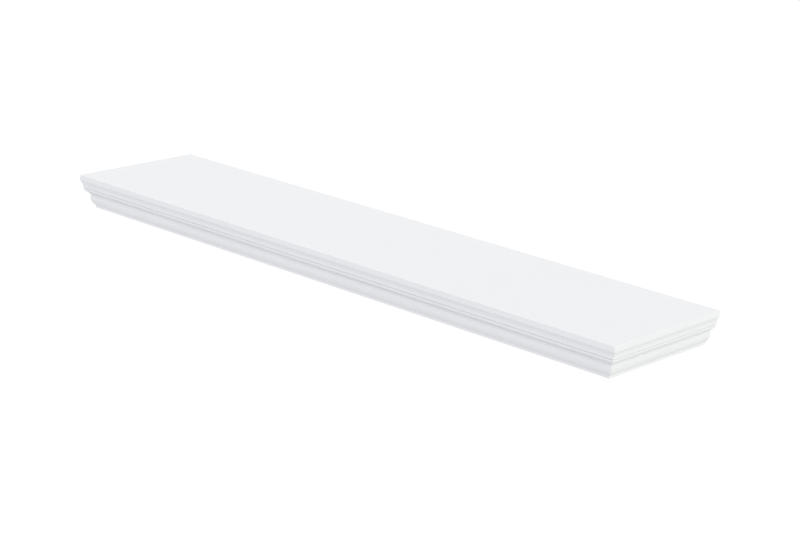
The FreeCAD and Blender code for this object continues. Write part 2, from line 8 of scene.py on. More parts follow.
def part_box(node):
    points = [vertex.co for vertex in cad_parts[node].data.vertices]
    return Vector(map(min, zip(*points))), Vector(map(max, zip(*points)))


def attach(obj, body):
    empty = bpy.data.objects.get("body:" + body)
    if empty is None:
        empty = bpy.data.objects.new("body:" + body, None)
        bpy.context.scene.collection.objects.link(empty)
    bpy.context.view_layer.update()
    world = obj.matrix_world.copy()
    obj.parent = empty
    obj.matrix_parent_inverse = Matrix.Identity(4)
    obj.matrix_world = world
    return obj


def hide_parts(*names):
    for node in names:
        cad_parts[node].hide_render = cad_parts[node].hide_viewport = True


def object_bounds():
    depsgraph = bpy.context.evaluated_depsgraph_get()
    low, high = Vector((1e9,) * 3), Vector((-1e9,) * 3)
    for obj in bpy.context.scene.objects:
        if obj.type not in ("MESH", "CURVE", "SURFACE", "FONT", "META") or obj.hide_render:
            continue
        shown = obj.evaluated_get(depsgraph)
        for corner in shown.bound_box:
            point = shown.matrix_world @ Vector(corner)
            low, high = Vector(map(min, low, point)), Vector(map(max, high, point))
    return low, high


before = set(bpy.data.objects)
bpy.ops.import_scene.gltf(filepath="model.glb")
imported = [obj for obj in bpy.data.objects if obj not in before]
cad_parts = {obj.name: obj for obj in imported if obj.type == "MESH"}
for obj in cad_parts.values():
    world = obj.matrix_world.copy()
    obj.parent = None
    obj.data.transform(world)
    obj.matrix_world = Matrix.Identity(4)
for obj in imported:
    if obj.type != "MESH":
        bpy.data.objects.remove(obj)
cad_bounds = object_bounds()


# Wall bar: a flat steel bar, punched with two slots and two round holes for the wall screws and
# four holes for the rods. Its corners are rounded and its edges deburred, and once the rods are
# welded in, the whole bracket is coated in matt black powder.
BAR_DEBURR = 0.0004
WELD_DISTANCE = 1e-6
FLAT = math.radians(1)
SHARP = math.radians(30)
CREASE = math.radians(50)
BLACK = (0, 0, 0, 1)
WHITE = (1, 1, 1, 1)
POWDER_BLACK = (0.021, 0.021, 0.023, 1)
POWDER_GREY = (0.036, 0.036, 0.038, 1)
POWDER_GRAIN_DEPTH = 0.00012
POWDER_ROUGHNESS, GRAIN_ROUGHENS, RUBBING_SMOOTHS = 0.5, 0.14, 0.08
RUBBING_STARTS, RUBBING_ENDS = 0.52, 0.78


class Strand:
    """A socket of a node tree. Arithmetic on strands adds Math nodes to the tree."""

    def __init__(self, tree, socket=None):
        self.tree = tree
        self.socket = socket

    def node(self, kind, settings, inputs, output=0):
        """Add a node: its settings first, then the values or links of its sockets."""
        made = self.tree.nodes.new(kind)
        for name, setting in settings.items():
            if name == "stops":
                ramp = made.color_ramp
                while len(ramp.elements) < len(setting):
                    ramp.elements.new(1)
                for stop, (place, colour) in zip(ramp.elements, setting):
                    stop.position = place
                    stop.color = colour
            else:
                setattr(made, name, setting)
        for name, given in inputs.items():
            if isinstance(given, Strand):
                self.tree.links.new(given.socket, made.inputs[name])
            else:
                made.inputs[name].default_value = given
        return Strand(self.tree, made.outputs[output])

    def math(self, operation, first, second):
        return self.node("ShaderNodeMath", {"operation": operation}, {0: first, 1: second})

    def __add__(self, other):
        return self.math("ADD", self, other)

    def __radd__(self, other):
        return self.math("ADD", other, self)

    def __sub__(self, other):
        return self.math("SUBTRACT", self, other)

    def __rsub__(self, other):
        return self.math("SUBTRACT", other, self)

    def __mul__(self, other):
        return self.math("MULTIPLY", self, other)

    def __rmul__(self, other):
        return self.math("MULTIPLY", other, self)


def noise(place, lumps_to_metre, detail=2, harshness=0.5):
    """Soft noise from 0 to 1 at a place, with a number of lumps to the metre."""
    inputs = {"Vector": place, "Scale": lumps_to_metre, "Detail": detail, "Roughness": harshness}
    return place.node("ShaderNodeTexNoise", {}, inputs)


def stretched(place, scale, shift=(0, 0, 0)):
    """A place drawn out or squeezed along the axes, and shifted after that."""
    inputs = {"Vector": place, "Scale": scale, "Location": shift}
    return place.node("ShaderNodeMapping", {}, inputs)


def blended(factor, first, second):
    """One colour that turns into another with a factor."""
    inputs = {"Factor": factor, "A": first, "B": second}
    return factor.node("ShaderNodeMix", {"data_type": "RGBA"}, inputs, "Result")


def graded(factor, *stops):
    """A colour read off a ramp of places and colours."""
    return factor.node("ShaderNodeValToRGB", {"stops": stops}, {"Fac": factor})


def bumped(height, depth, strength):
    """A normal that follows a height from 0 to 1 over a depth in metres."""
    inputs = {"Height": height, "Distance": depth, "Strength": strength}
    return height.node("ShaderNodeBump", {}, inputs)


def start_finish(name, **constants):
    """A new material with constants on its shader, and the place on the piece that it reads."""
    material = bpy.data.materials.new(name)
    material.use_nodes = True
    shader = material.node_tree.nodes["Principled BSDF"]
    for socket, number in constants.items():
        shader.inputs[socket.replace("_", " ")].default_value = number
    return material, Strand(material.node_tree).node("ShaderNodeTexCoord", {}, {}, "Object")


def end_finish(material, colour, roughness, normal):
    """Lead what changes over the surface into the material's shader."""
    shader = material.node_tree.nodes["Principled BSDF"]
    for socket, strand in (("Base Color", colour), ("Roughness", roughness), ("Normal", normal)):
        material.node_tree.links.new(strand.socket, shader.inputs[socket])
    return material


def ease(bm, edges, radius, segments=2):
    """Round some edges of a mesh."""
    bmesh.ops.bevel(
        bm, geom=edges, offset=radius, offset_type="OFFSET", segments=segments, profile=0.5,
        affect="EDGES", clamp_overlap=True, material=-1,
    )


def sharp_edges(bm):
    """The edges where two faces of a mesh meet at a clear angle."""
    return [edge for edge in bm.edges if edge.is_manifold and edge.calc_face_angle() > SHARP]


def eased_copy(node, radius):
    """The mesh of a CAD node with its flat faces made whole and its sharp edges rounded."""
    bm = bmesh.new()
    bm.from_mesh(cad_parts[node].data)
    bmesh.ops.remove_doubles(bm, verts=bm.verts[:], dist=WELD_DISTANCE)
    bmesh.ops.dissolve_limit(bm, angle_limit=FLAT, verts=bm.verts[:], edges=bm.edges[:])
    ease(bm, sharp_edges(bm), radius)
    return bm


def add_piece(name, bm, *materials):
    """An object from a mesh, smooth over its rounded edges and flat on its flat faces."""
    mesh = bpy.data.meshes.new(name)
    for face in bm.faces:
        face.smooth = True
    for edge in bm.edges:
        edge.smooth = edge.is_manifold and edge.calc_face_angle() < CREASE
    bm.to_mesh(mesh)
    bm.free()
    for material in materials:
        mesh.materials.append(material)
    piece = bpy.data.objects.new(name, mesh)
    bpy.context.scene.collection.objects.link(piece)
    flatten = piece.modifiers.new("flat_faces", "WEIGHTED_NORMAL")
    flatten.keep_sharp = True
    return piece


def fit(piece, body, slot, *nodes):
    """Hang a piece on its body and hide the CAD nodes that it stands for. The slot argument is not
    used.
    """
    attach(piece, body)
    if nodes:
        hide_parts(*nodes)


def make_powder_coat():
    """Matt black powder, fine-grained, with a few paler rubbed patches."""
    material, place = start_finish("matt_black_powder", Specular_IOR_Level=0.4)
    grain = noise(place, lumps_to_metre=2400, detail=3, harshness=0.6)
    rubbed = noise(place, lumps_to_metre=38, detail=4, harshness=0.65)
    patches = graded(rubbed, (RUBBING_STARTS, BLACK), (RUBBING_ENDS, WHITE))
    return end_finish(
        material,
        colour=blended(patches, POWDER_BLACK, POWDER_GREY),
        roughness=POWDER_ROUGHNESS + GRAIN_ROUGHENS * grain - RUBBING_SMOOTHS * rubbed,
        normal=bumped(grain, POWDER_GRAIN_DEPTH, strength=0.6),
    )


powder_coat = make_powder_coat()
wall_bar = add_piece("wall_bar", eased_copy("bracket_bar", BAR_DEBURR), powder_coat)
fit(wall_bar, "bracket", "bracket_steel", "bracket_bar")


# Support rods: four round steel bars, cut to length and chamfered at the tip so that the shelf
# finds them. They pass through the bar, are flush with its back, and wear the bracket's powder.
ROD_COUNT = 4
ROD_RADIUS = 0.006
ROD_CHAMFER = 0.0015
ROD_EASE = 0.0003
ROD_SIDES = 64
QUARTER_TURN = math.pi / 2


def middle_of(node):
    """The middle of a CAD node's box."""
    low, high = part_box(node)
    return (low + high) / 2


def edges_where(bm, is_wanted):
    """The edges whose two ends both pass a test."""
    return [edge for edge in bm.edges if all(is_wanted(vert.co) for vert in edge.verts)]


rod_axes = []
for number in range(1, ROD_COUNT + 1):
    node = f"support_rod_{number}"
    low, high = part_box(node)
    middle = middle_of(node)
    rod_axes.append(Vector((middle.x, 0, middle.z)))
    bm = bmesh.new()
    bmesh.ops.create_cone(
        bm, cap_ends=True, segments=ROD_SIDES, radius1=ROD_RADIUS, radius2=ROD_RADIUS,
        depth=high.y - low.y,
        matrix=Matrix.Translation(middle) @ Matrix.Rotation(QUARTER_TURN, 4, "X"),
    )
    tip = edges_where(bm, lambda spot: spot.y < low.y + WELD_DISTANCE)
    ease(bm, tip, ROD_CHAMFER, segments=1)
    ease(bm, sharp_edges(bm), ROD_EASE)
    rod = add_piece(f"rod_{number}", bm, powder_coat)
    fit(rod, "bracket", "bracket_steel", node)


# Rod welds: a rippled bead of weld metal that runs round the root of each rod, where it leaves the
# face of the bar. The powder lies over it.
BEAD_LEG = 0.0019
BEAD_BELLY = 0.62 * BEAD_LEG
BEAD_SINK = 0.0002
BEAD_RIPPLES = 30
BEAD_RIPPLE = 0.00014
BEAD_STEPS = 180


def spin_section(bm, spots, axis, way, steps, closed=True, turns=1, pitch=0):
    """Turn a section, given by its corners, round an axis, and shift it by a pitch each turn."""
    corners = [bm.verts.new(spot) for spot in spots]
    followers = corners[1:] + corners[:1] if closed else corners[1:]
    sides = [bm.edges.new(pair) for pair in zip(corners, followers)]
    bmesh.ops.spin(
        bm, geom=sides + corners, cent=axis, axis=way, dvec=Vector(way) * (pitch / steps),
        angle=math.tau * turns, steps=steps * turns, use_merge=not pitch, use_duplicate=False,
    )
    bmesh.ops.remove_doubles(bm, verts=bm.verts[:], dist=WELD_DISTANCE)


bar_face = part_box("bracket_bar")[0].y
inner, outer = ROD_RADIUS - BEAD_SINK, ROD_RADIUS + BEAD_LEG
bead_section = (
    # radius, and place along the rod
    (inner, bar_face + BEAD_SINK),
    (outer, bar_face + BEAD_SINK),
    (outer, bar_face - BEAD_SINK),
    (ROD_RADIUS + BEAD_BELLY, bar_face - BEAD_BELLY),
    (ROD_RADIUS + BEAD_SINK, bar_face - BEAD_LEG),
    (inner, bar_face - BEAD_LEG),
)
for number, axis in enumerate(rod_axes, start=1):
    bm = bmesh.new()
    spots = [(axis.x + radius, along, axis.z) for radius, along in bead_section]
    spin_section(bm, spots, axis, (0, 1, 0), BEAD_STEPS)
    for vert in bm.verts:
        out = Vector((vert.co.x - axis.x, 0, vert.co.z - axis.z))
        swell = BEAD_RIPPLE * math.sin(BEAD_RIPPLES * math.atan2(out.z, out.x))
        if out.length > ROD_RADIUS and vert.co.y < bar_face:
            vert.co += (out.normalized() - Vector((0, 1, 0))) * swell
    bmesh.ops.recalc_face_normals(bm, faces=bm.faces[:])
    fit(add_piece(f"rod_weld_{number}", bm, powder_coat), "bracket", "bracket_steel")


# Timber frame: three rails and two end battens of planed softwood, sawn square, bored for the rods
# and held together with glue, and at the corners with screws. It stays bare, because the panels
# and mouldings cover all of it but the face at the wall.
TIMBER_EASE = 0.0006
EARLY_WOOD = (0.60, 0.42, 0.235, 1)
MID_WOOD = (0.53, 0.335, 0.165, 1)
LATE_WOOD = (0.42, 0.24, 0.11, 1)
RING_TONES = (
    # from where one ring starts to where the next does
    (0, EARLY_WOOD), (0.45, EARLY_WOOD), (0.8, MID_WOOD), (0.95, LATE_WOOD), (1, EARLY_WOOD),
)
RINGS_TO_METRE = 120
ALONG_THE_GRAIN = 0.05
FIBRE_STAIN = 0.35
FIBRE_RISE, RING_RISE = 0.6, 0.4
TIMBER_GRAIN_DEPTH = 0.0002
TIMBER_ROUGHNESS, FIBRE_ROUGHENS, RINGS_SMOOTH = 0.62, 0.2, 0.1
BOARDS = (
    # node, the way its grain runs, and a point that its pith goes through
    ("front_rail", "X", (0, -0.150, -0.046)),
    ("middle_rail", "X", (0, -0.121, 0.041)),
    ("rear_rail", "X", (0, -0.034, 0.052)),
    ("left_end_batten", "Y", (-0.405, 0, -0.040)),
    ("right_end_batten", "Y", (0.438, 0, 0.045)),
)


def make_softwood(name, along, pith):
    """Pine with its rings round a pith that runs along X or Y, outside the board."""
    material, place = start_finish(name, Specular_IOR_Level=0.3)
    draw_out = (ALONG_THE_GRAIN, 1, 1) if along == "X" else (1, ALONG_THE_GRAIN, 1)
    about_pith = stretched(place, draw_out, -Vector(pith))
    rings = place.node(
        "ShaderNodeTexWave",
        {"wave_type": "RINGS", "rings_direction": along, "wave_profile": "SAW"},
        {"Vector": about_pith, "Scale": RINGS_TO_METRE, "Distortion": 2.6, "Detail": 2.5,
         "Detail Scale": 0.12},
        "Fac",
    )
    fibre = noise(stretched(place, draw_out), lumps_to_metre=2600, detail=3, harshness=0.65)
    tone = noise(about_pith, lumps_to_metre=9)
    return end_finish(
        material,
        colour=blended(FIBRE_STAIN * fibre * tone, graded(rings, *RING_TONES), LATE_WOOD),
        roughness=TIMBER_ROUGHNESS + FIBRE_ROUGHENS * fibre - RINGS_SMOOTH * rings,
        normal=bumped(FIBRE_RISE * fibre + RING_RISE * rings, TIMBER_GRAIN_DEPTH, strength=0.5),
    )


for node, along, pith in BOARDS:
    pine = make_softwood(f"{node}_pine", along, pith)
    board = add_piece(f"{node}_board", eased_copy(node, TIMBER_EASE), pine)
    fit(board, "shelf", "softwood", node)


# Frame screws: four countersunk steel screws with a coarse thread, a sharp point and a cross
# recess, zinc plated and passivated to a yellow sheen. They are driven through the front rail and
# the battens before the mouldings cover their heads.
FRAME_SCREW_LENGTH = 0.045
FRAME_SCREW_HEAD_RADIUS, FRAME_SCREW_HEAD_HEIGHT = 0.00385, 0.0024
FRAME_SCREW_RIM = 0.0001
FRAME_SCREW_NECK = 0.0006
FRAME_SCREW_SHANK = 0.0014
FRAME_SCREW_PLAIN = 0.016
FRAME_SCREW_CREST = 0.002
FRAME_SCREW_ROOT = 0.00125
FRAME_SCREW_PITCH = 0.0018
FRAME_SCREW_POINT = 0.006
FRAME_SCREW_TIP = 0.00012
FRAME_SCREW_STEPS = 32
FRAME_SCREW_TOOTH = (
    # radius, and how far up its pitch the tooth has it
    (FRAME_SCREW_ROOT, 0), (FRAME_SCREW_ROOT, 0.5), (FRAME_SCREW_CREST, 0.72),
    (FRAME_SCREW_CREST, 0.78), (FRAME_SCREW_ROOT, 1),
)
SPARE_TURNS = 2
SAW_DISTANCE = 1e-9
CROSS_ARMS = 4
CROSS_ARM, CROSS_HALF_WIDTH, CROSS_DEPTH = 0.0021, 0.0005, 0.0017
CROSS_TAPER = 0.45
ZINC_YELLOW = (0.66, 0.56, 0.33, 1)
ZINC_PALE = (0.62, 0.60, 0.52, 1)
ZINC_MARK_DEPTH = 0.00004
ZINC_ROUGHNESS, ZINC_MARKS_ROUGHEN = 0.26, 0.14


def make_yellow_zinc():
    """Bright zinc whose yellow passivation is thicker in some places than in others."""
    material, place = start_finish("yellow_zinc", Metallic=1)
    film = noise(place, lumps_to_metre=160, detail=3)
    marks = noise(place, lumps_to_metre=3200)
    return end_finish(
        material,
        colour=blended(film, ZINC_YELLOW, ZINC_PALE),
        roughness=ZINC_ROUGHNESS + ZINC_MARKS_ROUGHEN * marks,
        normal=bumped(marks, ZINC_MARK_DEPTH, strength=0.5),
    )


def spin_up(bm, axis, section, steps, closed=False, turns=1, pitch=0):
    """Turn a section of radii and heights round an upright axis, and raise it by a pitch."""
    spots = [(axis.x + radius, axis.y, height) for radius, height in section]
    spin_section(bm, spots, axis, (0, 0, 1), steps, closed, turns, pitch)


def wind_thread(bm, axis, tooth, pitch, bottom, top, steps):
    """Wind a thread up an axis from a turn below its bottom to past its top."""
    turns = math.ceil((top - bottom) / pitch) + SPARE_TURNS
    start = bottom - pitch
    winding = [(radius, start + share * pitch) for radius, share in tooth]
    spin_up(bm, axis, winding, steps, turns=turns, pitch=pitch)


def only(kind, parts):
    """The vertices, or the edges, among some parts of a mesh."""
    return [part for part in parts if isinstance(part, kind)]


def saw_off(bm, spot, way, distance):
    """Saw off what lies beyond a plane through a spot, and give back the edges of the cut."""
    cut = bmesh.ops.bisect_plane(
        bm, geom=bm.verts[:] + bm.edges[:] + bm.faces[:], dist=distance, plane_co=spot,
        plane_no=way, clear_outer=True,
    )
    return only(bmesh.types.BMEdge, cut["geom_cut"])


def saw_level(bm, height, way):
    """Saw a screw off level, above a height or below it."""
    return saw_off(bm, (0, 0, height), (0, 0, way), SAW_DISTANCE)


def turn_down(bm, axis, widest_at):
    """Draw in what stands out from an axis by more than the screw is wide at its height."""
    for vert in bm.verts:
        out = Vector((vert.co.x - axis.x, vert.co.y - axis.y, 0))
        widest = widest_at(vert.co.z)
        if out.length > widest:
            vert.co += out.normalized() * (widest - out.length)


def sink_recess(bm, outline, axis, depth, taper=1):
    """Sink an outline into the end of a screw, drawn in by a taper, and close its floor."""
    sunk = bmesh.ops.extrude_edge_only(bm, edges=outline)["geom"]
    floor = only(bmesh.types.BMVert, sunk)
    bmesh.ops.scale(bm, verts=floor, vec=(taper, taper, 1), space=Matrix.Translation(-axis))
    bmesh.ops.translate(bm, verts=floor, vec=(0, 0, depth))
    bmesh.ops.edgeloop_fill(bm, edges=only(bmesh.types.BMEdge, sunk))


def frame_screw_width(height):
    """How wide the thread of a frame screw may be at a height: it narrows to the point."""
    above_tip = height + FRAME_SCREW_LENGTH
    return max(FRAME_SCREW_TIP, FRAME_SCREW_CREST * min(1, above_tip / FRAME_SCREW_POINT))


def make_frame_screw():
    """One screw that points down, with the face of its head at the origin."""
    bm = bmesh.new()
    axis = Vector()
    wind_thread(bm, axis, FRAME_SCREW_TOOTH, FRAME_SCREW_PITCH, -FRAME_SCREW_LENGTH,
                -FRAME_SCREW_PLAIN, FRAME_SCREW_STEPS)
    bmesh.ops.edgeloop_fill(bm, edges=saw_level(bm, -FRAME_SCREW_LENGTH, -1))
    runout = saw_level(bm, -FRAME_SCREW_PLAIN, 1)
    turn_down(bm, axis, frame_screw_width)
    shank_end = FRAME_SCREW_NECK - FRAME_SCREW_PLAIN
    spin_up(bm, axis, (
        (FRAME_SCREW_SHANK, shank_end),
        (FRAME_SCREW_SHANK, -FRAME_SCREW_HEAD_HEIGHT - FRAME_SCREW_NECK),
        (FRAME_SCREW_CREST, -FRAME_SCREW_HEAD_HEIGHT),
        (FRAME_SCREW_HEAD_RADIUS, -FRAME_SCREW_RIM),
        (FRAME_SCREW_HEAD_RADIUS - FRAME_SCREW_RIM, 0),
    ), FRAME_SCREW_STEPS)
    shank = edges_where(bm, lambda spot: abs(spot.z - shank_end) < WELD_DISTANCE)
    bmesh.ops.bridge_loops(bm, edges=runout + shank)
    rim = edges_where(bm, lambda spot: spot.z > -WELD_DISTANCE)
    corners = []
    for arm in range(CROSS_ARMS):
        turned = Matrix.Rotation(arm * QUARTER_TURN, 3, "Z")
        for spot in (
            (CROSS_ARM, -CROSS_HALF_WIDTH, 0),
            (CROSS_ARM, CROSS_HALF_WIDTH, 0),
            (CROSS_HALF_WIDTH, CROSS_HALF_WIDTH, 0),
        ):
            corners.append(bm.verts.new(turned @ Vector(spot)))
    cross = [bm.edges.new(pair) for pair in zip(corners, corners[1:] + corners[:1])]
    bmesh.ops.triangle_fill(bm, edges=rim + cross, use_beauty=True)
    sink_recess(bm, cross, axis, -CROSS_DEPTH, CROSS_TAPER)
    bmesh.ops.recalc_face_normals(bm, faces=bm.faces[:])
    return bm


screws = make_frame_screw()
pattern = screws.verts[:] + screws.edges[:] + screws.faces[:]
for hand, side in (("left", -1), ("right", 1)):
    batten = middle_of(f"{hand}_end_batten")
    outer_face = side * max(abs(corner.x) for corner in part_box(f"{hand}_end_batten"))
    for spot, way in (
        ((batten.x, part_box("front_rail")[0].y, batten.z), (0, 1, 0)),
        ((outer_face, middle_of("rear_rail").y, batten.z), (-side, 0, 0)),
    ):
        copied = bmesh.ops.duplicate(screws, geom=pattern)["geom"]
        driven = Vector(way).to_track_quat("-Z", "Y").to_matrix().to_4x4()
        bmesh.ops.transform(
            screws, verts=only(bmesh.types.BMVert, copied),
            matrix=Matrix.Translation(spot) @ driven,
        )
bmesh.ops.delete(screws, geom=only(bmesh.types.BMVert, pattern), context="VERTS")
timber_screws = add_piece("timber_screws", screws, make_yellow_zinc())
fit(timber_screws, "shelf", "zinc_steel", "frame_screws")


# Threaded inserts: brass sleeves with ridges outside that grip the wood and a machine thread
# inside, pressed into the underside of the rear rail below the two outer rods.
INSERT_RADIUS = 0.0045
INSERT_BORE = 0.00308
INSERT_MOUTH = 0.0004
INSERT_RIDGES = 5
INSERT_RIDGE_DEPTH = 0.0005
INSERT_STEPS = 72
THREAD_PITCH = 0.001
THREAD_DEPTH = 0.0003
RIDGE_FOOT, RIDGE_CREST = 0.15, 0.6
BRASS_BRIGHT = (0.78, 0.57, 0.25, 1)
BRASS_DULL = (0.52, 0.36, 0.15, 1)
TURNING_SQUEEZE = (1, 1, 14)
TURNING_DEPTH = 0.00005
BRASS_ROUGHNESS, TURNING_ROUGHENS = 0.24, 0.2


def make_turned_brass():
    """Brass with fine turning marks and a little tarnish."""
    material, place = start_finish("turned_brass", Metallic=1)
    marks = noise(stretched(place, TURNING_SQUEEZE), lumps_to_metre=900, detail=3)
    tarnish = noise(place, lumps_to_metre=420, detail=3, harshness=0.6)
    return end_finish(
        material,
        colour=blended(tarnish, BRASS_BRIGHT, BRASS_DULL),
        roughness=BRASS_ROUGHNESS + TURNING_ROUGHENS * marks,
        normal=bumped(marks, TURNING_DEPTH, strength=0.6),
    )


def zigzag(bottom, top, count, radius, depth):
    """Points up a ridged wall, from a radius to a depth beyond it and back, count times."""
    rise = (top - bottom) / count
    points = []
    for turn in range(count):
        points.append((radius, bottom + rise * (turn + RIDGE_FOOT)))
        points.append((radius + depth, bottom + rise * (turn + RIDGE_CREST)))
    return points


def upright_axis(node):
    """A point on the upright line through the middle of a CAD node."""
    return Vector((*middle_of(node).xy, 0))


turned_brass = make_turned_brass()
for hand in ("left", "right"):
    node = f"threaded_insert_{hand}"
    low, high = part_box(node)
    ridges = zigzag(
        low.z + INSERT_MOUTH, high.z - 2 * INSERT_MOUTH, INSERT_RIDGES, INSERT_RADIUS,
        -INSERT_RIDGE_DEPTH,
    )
    threads = zigzag(
        low.z + INSERT_MOUTH, high.z - INSERT_MOUTH, round((high.z - low.z) / THREAD_PITCH) - 1,
        INSERT_BORE, THREAD_DEPTH,
    )
    section = [
        (INSERT_BORE + INSERT_MOUTH, low.z), (INSERT_RADIUS, low.z), *ridges,
        (INSERT_RADIUS - INSERT_MOUTH, high.z), (INSERT_BORE + INSERT_MOUTH, high.z),
        *reversed(threads),
    ]
    bm = bmesh.new()
    spin_up(bm, upright_axis(node), section, INSERT_STEPS, closed=True)
    bmesh.ops.recalc_face_normals(bm, faces=bm.faces[:])
    fit(add_piece(f"insert_{hand}", bm, turned_brass), "shelf", "brass", node)


# Bottom panel: a thin fibreboard that closes the underside, glued into the rebate of the
# mouldings, with a hole for the key below each lock screw. It is lacquered below, and bare inside
# and at the wall.
PANEL_EASE = 0.0003
FACING = 0.9
LACQUER_WHITE = (0.845, 0.858, 0.872, 1)
LACQUER_SHADE = (0.815, 0.828, 0.842, 1)
LACQUER_CLOUD = 0.5
LACQUER_PEEL_DEPTH = 0.00006
LACQUER_ROUGHNESS, SHEEN_WANDERS, PEEL_ROUGHENS = 0.36, 0.1, 0.05
BOARD_BROWN = (0.36, 0.245, 0.14, 1)
BOARD_PALE = (0.47, 0.345, 0.22, 1)
BOARD_FIBRE, BOARD_LUMPS = 0.7, 0.3
BOARD_FIBRE_DEPTH = 0.00025
BOARD_ROUGHNESS, BOARD_FIBRE_ROUGHENS = 0.78, 0.16
OVERSPRAY = (0.72, 0.71, 0.69, 1)
OVERSPRAY_STARTS, OVERSPRAY_ENDS = 0.56, 0.72
OVERSPRAY_COVER = (0.55, 0.55, 0.55, 1)


def make_lacquer():
    """Sprayed satin white: a faint peel from the gun, and sheen that wanders a little."""
    material, place = start_finish("satin_white_lacquer", Specular_IOR_Level=0.5)
    peel = noise(place, lumps_to_metre=520, harshness=0.4)
    film = noise(place, lumps_to_metre=6, detail=3)
    sheen = noise(place, lumps_to_metre=45, detail=3)
    return end_finish(
        material,
        colour=blended(LACQUER_CLOUD * film, LACQUER_WHITE, LACQUER_SHADE),
        roughness=LACQUER_ROUGHNESS + SHEEN_WANDERS * sheen + PEEL_ROUGHENS * peel,
        normal=bumped(peel, LACQUER_PEEL_DEPTH, strength=0.35),
    )


def make_bare_board():
    """Sawn fibreboard: pressed brown fibres, with a dusting of lacquer that drifted onto it."""
    material, place = start_finish("bare_fibreboard", Specular_IOR_Level=0.25)
    fibre = noise(place, lumps_to_metre=1500, detail=4, harshness=0.7)
    lumps = noise(place, lumps_to_metre=210, detail=3, harshness=0.6)
    drift = noise(place, lumps_to_metre=900, detail=3, harshness=0.8)
    board = blended(BOARD_FIBRE * fibre + BOARD_LUMPS * lumps, BOARD_BROWN, BOARD_PALE)
    dusting = graded(drift, (OVERSPRAY_STARTS, BLACK), (OVERSPRAY_ENDS, OVERSPRAY_COVER))
    return end_finish(
        material,
        colour=blended(dusting, board, OVERSPRAY),
        roughness=BOARD_ROUGHNESS + BOARD_FIBRE_ROUGHENS * fibre,
        normal=bumped(fibre, BOARD_FIBRE_DEPTH, strength=0.6),
    )


def bare_where(bm, is_bare):
    """Give the second finish to the faces whose normal passes a test."""
    for face in bm.faces:
        if is_bare(face.normal):
            face.material_index = 1


lacquer = make_lacquer()
bare_board = make_bare_board()
bm = eased_copy("bottom_panel", PANEL_EASE)
bare_where(bm, lambda normal: normal.y > FACING or normal.z > FACING)
underside = add_piece("underside", bm, lacquer, bare_board)
fit(underside, "shelf", "lacquered_board", "bottom_panel")


# Crown mouldings: fibreboard run through a moulder to one profile: a cove, a bead between two
# grooves, a small cove and an ovolo over a plain foot. They are mitred at the front corners, square
# at the wall, glued to the frame and lacquered, but for their backs and their ends at the wall.
SHELF_HALF_LENGTH, SHELF_DEPTH = 0.457, 0.2
SHELF_TOP = cad_bounds[1][2]
MOULDING_SET_IN, MOULDING_DROP = 0.0002, 0.007
MOULDING_ARRIS = 0.00016
ARC_STEPS = 20
MOULDING_MEMBERS = (
    # inwards, downwards, rise of an arc: out if positive, hollow if negative
    (0, 0.0005, 0),  # head
    (0.0028, 0.0092, -0.001),  # cove
    (0.002, 0, 0),  # groove above the bead
    (0, 0.00075, 0),
    (-0.0012, 0, 0),
    (0.0022, 0.0052, 0.00085),  # bead
    (0.002, 0, 0),  # groove below the bead
    (0, 0.00075, 0),
    (-0.0009, 0, 0),
    (0.0035, 0.00525, -0.00095),  # small cove
    (0.0045, 0.01275, 0.00175),  # ovolo
    (0.0005, 0, 0),  # foot
    (0, 0.0036, 0),
    (0.0052, 0, 0),  # underside, and the rebate for the bottom panel
    (0, -0.005, 0),
    (0.0052, 0, 0),
    (0, -0.033, 0),  # back
)


def draw_arc(bm, vert, target, rise):
    """Spin a vertex to a target over a chord, along an arc that stands out or is hollow."""
    chord = target - vert.co
    radius = chord.length ** 2 / (8 * abs(rise)) + abs(rise) / 2
    outwards = Vector((0, chord.z, -chord.y)).normalized()
    centre = vert.co + chord / 2 + outwards * (rise - math.copysign(radius, rise))
    start, finish = vert.co - centre, target - centre
    turn = math.copysign(start.angle(finish), start.cross(finish).x)
    made = bmesh.ops.spin(
        bm, geom=[vert], cent=centre, axis=(1, 0, 0), angle=turn, steps=ARC_STEPS,
        use_duplicate=False,
    )
    return made["geom_last"][0]


def run_moulding(start, end, mitres):
    """A length of moulding along X, set in along +Y from its outer edge, with its mitres cut."""
    bm = bmesh.new()
    first = last = bm.verts.new((start, MOULDING_SET_IN, SHELF_TOP - MOULDING_DROP))
    for inwards, downwards, rise in MOULDING_MEMBERS:
        target = last.co + Vector((0, inwards, -downwards))
        if rise:
            last = draw_arc(bm, last, target, rise)
        else:
            last = bmesh.ops.extrude_vert_indiv(bm, verts=[last])["verts"][0]
            last.co = target
    bm.edges.new((last, first))
    profile = bmesh.ops.edgeloop_fill(bm, edges=bm.edges[:])["faces"]
    grown = bmesh.ops.extrude_face_region(bm, geom=profile)["geom"]
    far_end = only(bmesh.types.BMVert, grown)
    bmesh.ops.translate(bm, verts=far_end, vec=(end - start, 0, 0))
    for place, way in mitres:
        mitre = saw_off(bm, (place, 0, 0), (way, 1, 0), WELD_DISTANCE)
        bmesh.ops.edgeloop_fill(bm, edges=mitre)
    bmesh.ops.recalc_face_normals(bm, faces=bm.faces[:])
    ease(bm, sharp_edges(bm), MOULDING_ARRIS)
    return bm


